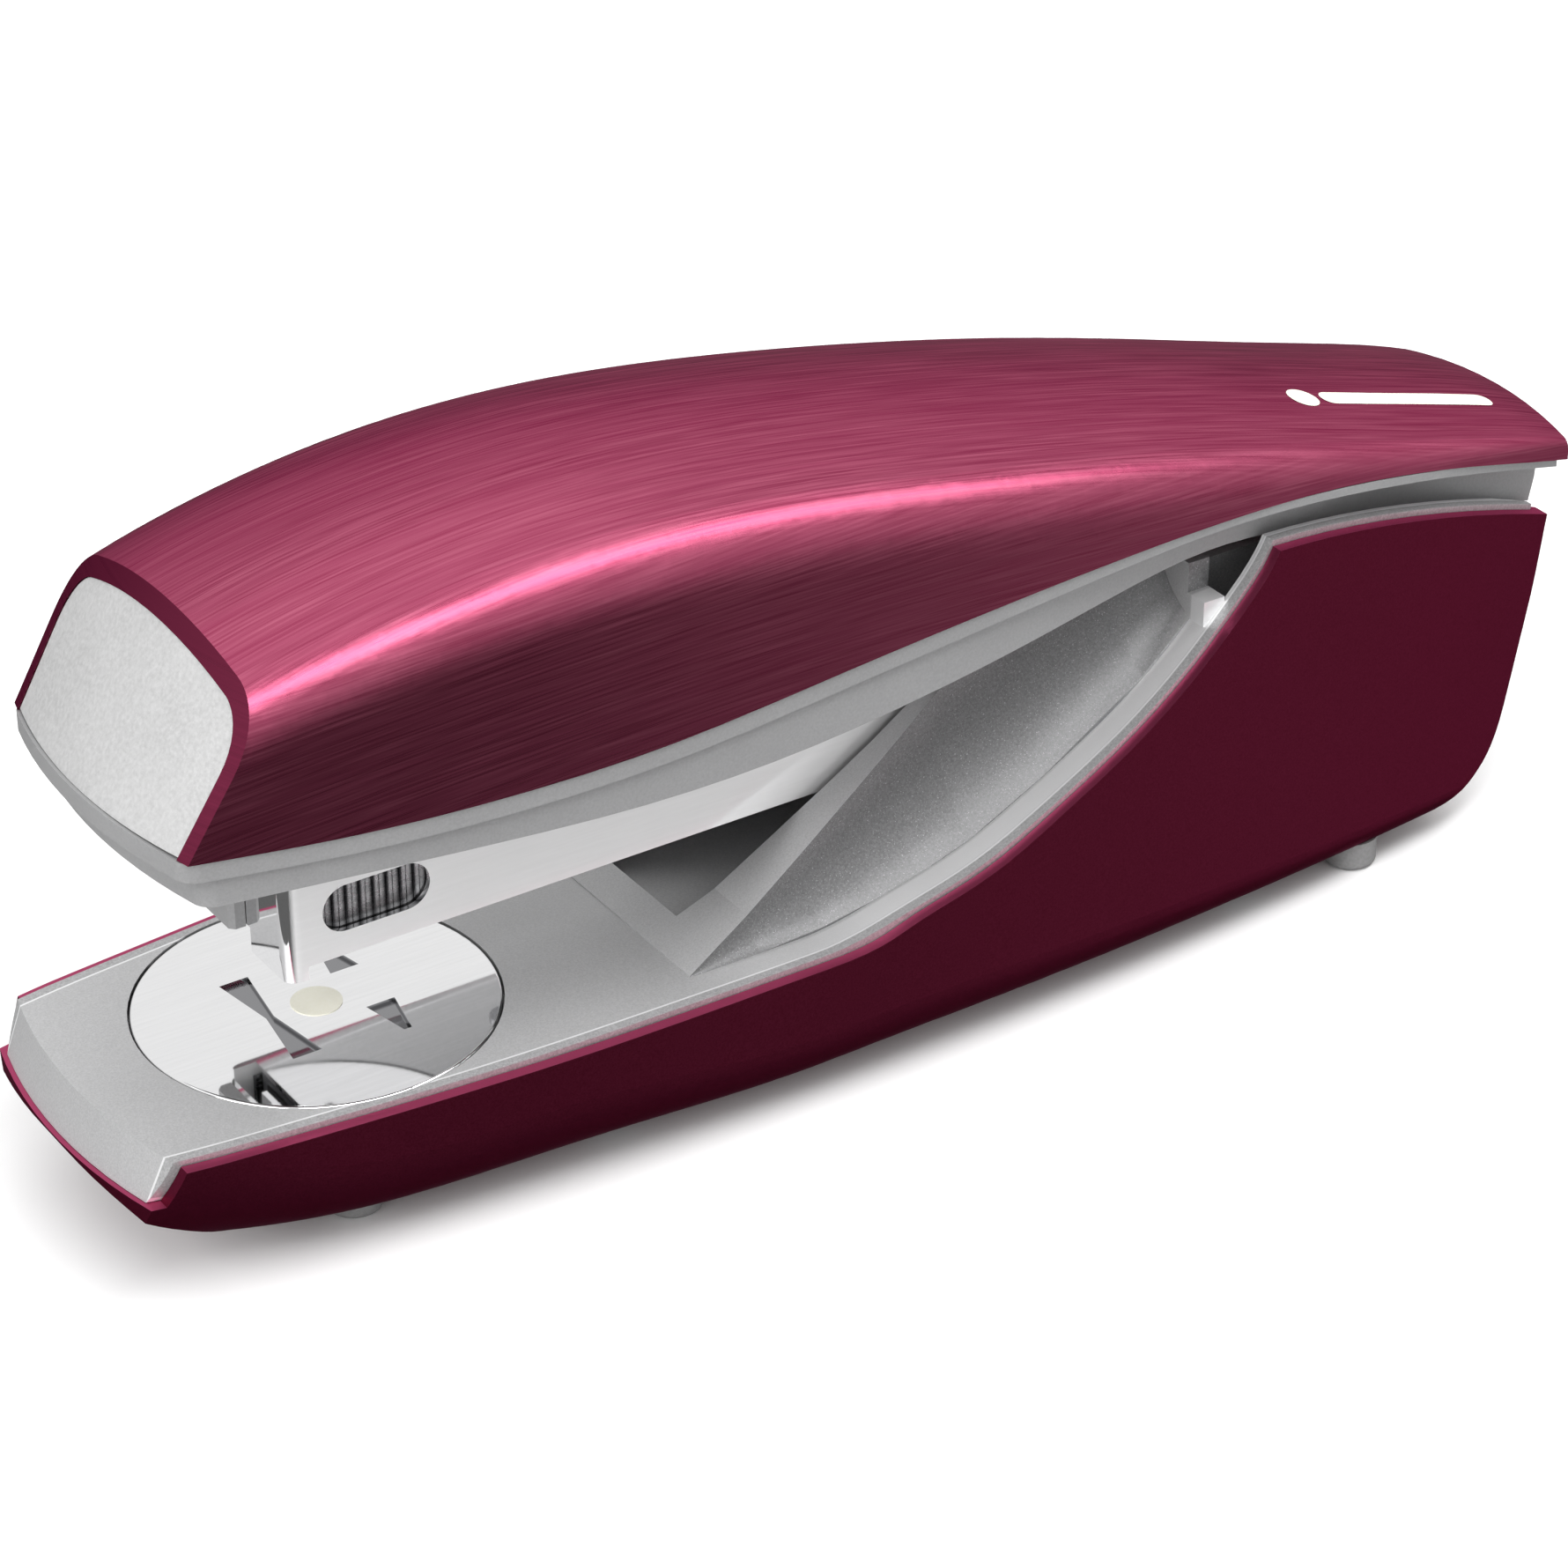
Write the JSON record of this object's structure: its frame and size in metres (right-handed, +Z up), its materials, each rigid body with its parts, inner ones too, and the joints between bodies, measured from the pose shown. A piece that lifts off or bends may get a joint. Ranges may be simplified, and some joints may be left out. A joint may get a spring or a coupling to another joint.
{
  "type": "desk stapler",
  "caption": "Desk stapler with a crowned metal cover, grey housing, chromed magazine, turnable anvil plate and a base with swept-up flanks.",
  "frame": {"origin": "on the table, under the middle of the length", "axes": "+X towards the hinge, +Y to the far side, +Z up"},
  "size_m": [0.168, 0.0424, 0.0675],
  "materials": {
    "burgundy_shell": "satin metallic burgundy",
    "brushed_burgundy": "brushed along the length, clear coated",
    "silver_plastic": "silver metallic plastic with a fine grain",
    "grey_plastic": "matt mid grey",
    "panel_silver": "light silver with a fine texture",
    "foot_rubber": "matt grey",
    "bright_chrome": "mirror",
    "ivory_plastic": "satin ivory",
    "white_plastic": "satin",
    "black_plastic": "satin",
    "zinc_steel": "zinc plated",
    "pin_steel": "turned",
    "spring_steel": "bright spring steel",
    "staple_wire": "galvanised wire"
  },
  "bodies": {
    "base": {"base_shell": "burgundy_shell", "base_insert": "silver_plastic", "chassis_plate": "zinc_steel", "base_screws": "pin_steel", "rubber_foot_1": "foot_rubber", "rubber_foot_2": "foot_rubber", "rubber_foot_3": "foot_rubber", "rubber_foot_4": "foot_rubber", "hinge_bracket": "zinc_steel", "bracket_rivets": "pin_steel", "hinge_pin": "pin_steel", "pin_clips": "pin_steel", "pin_bush": "white_plastic", "lift_spring": "spring_steel"},
    "anvil": {"anvil_plate": "bright_chrome", "anvil_button": "ivory_plastic", "anvil_washer": "spring_steel"},
    "magazine": {"magazine_channel": "bright_chrome", "nose_guide": "grey_plastic", "staple_rail": "zinc_steel", "staple_strip": "staple_wire", "follower_rod": "pin_steel", "rear_block": "black_plastic", "follower_spring": "spring_steel", "magazine_rivets": "pin_steel", "return_spring": "spring_steel"},
    "follower": {"follower": "black_plastic"},
    "arm": {"top_cover": "brushed_burgundy", "front_panel": "panel_silver", "inner_housing": "grey_plastic", "hammer_frame": "zinc_steel", "driver_blade": "spring_steel", "driver_rivets": "pin_steel", "housing_screws": "pin_steel"}
  },
  "joints": [
    {"name": "magazine_hinge", "type": "hinge", "parent": "base", "child": "magazine", "pos_m": [0.06825, 0, 0.0245], "axis": [0, 1, 0], "range_deg": [-2.9, 0], "stiffness_Nm_per_rad": 4, "springref_deg": 5.16, "deforming": ["lift_spring"]},
    {"name": "arm_hinge", "type": "hinge", "parent": "magazine", "child": "arm", "pos_m": [0.06825, 0, 0.0245], "axis": [0, 1, 0], "range_deg": [-3.4, 80], "deforming": ["return_spring"]},
    {"name": "follower_slide", "type": "slide", "parent": "magazine", "child": "follower", "axis": [1, 0, 0], "range_m": [0, 0.05], "stiffness_N_per_m": 60, "springref_m": -0.03, "deforming": ["follower_spring"]},
    {"name": "anvil_turn", "type": "hinge", "parent": "base", "child": "anvil", "pos_m": [-0.05675, 0, 0.0165], "axis": [0, 0, 1], "continuous": true}
  ]
}
